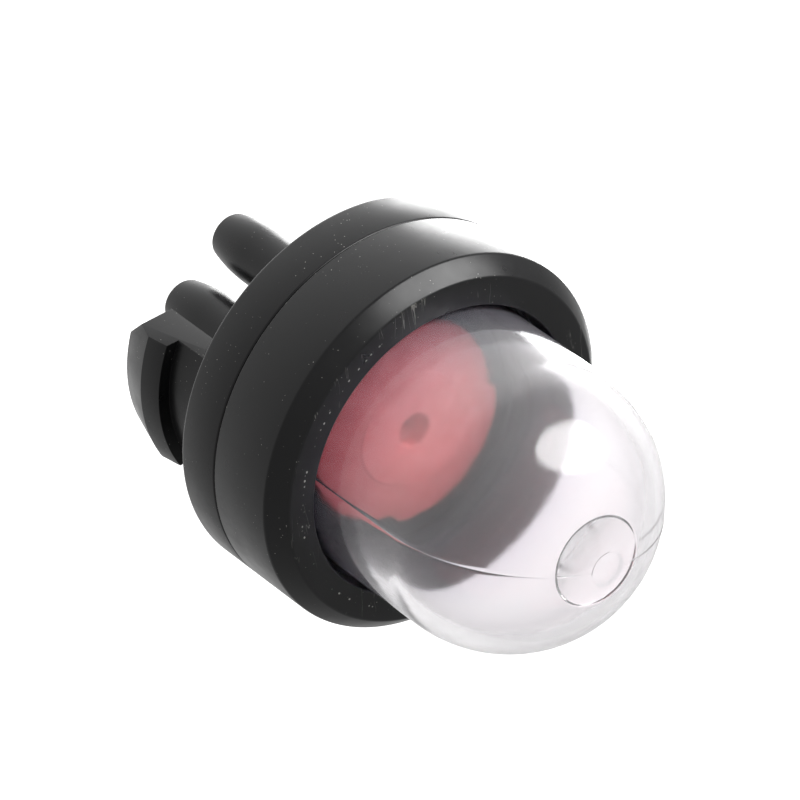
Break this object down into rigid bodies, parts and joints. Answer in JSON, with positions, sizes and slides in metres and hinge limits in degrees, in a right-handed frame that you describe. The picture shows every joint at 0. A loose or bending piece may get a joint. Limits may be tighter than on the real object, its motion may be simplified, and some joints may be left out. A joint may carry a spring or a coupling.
{
  "type": "primer bulb",
  "caption": "Snap-in primer bulb: soft clear dome clamped in a round black body with a rubber check valve, hose nozzles and snap-in clips behind.",
  "frame": {"origin": "centre of the body's flat back face, where it seats on the panel, on the bulb's axis", "axes": "+Z along the bulb's axis from the panel towards the dome, +X along the line through the two snap-in clips"},
  "size_m": [0.022, 0.022, 0.035],
  "materials": {
    "black_nylon": "satin moulded nylon",
    "clear_bulb": "clear, slightly milky, glossy",
    "pink_rubber": "satin translucent silicone rubber"
  },
  "bodies": {
    "root": {"base": "black_nylon", "cap_ring": "black_nylon", "bulb": "clear_bulb", "check_valve": "pink_rubber"}
  },
  "joints": []
}
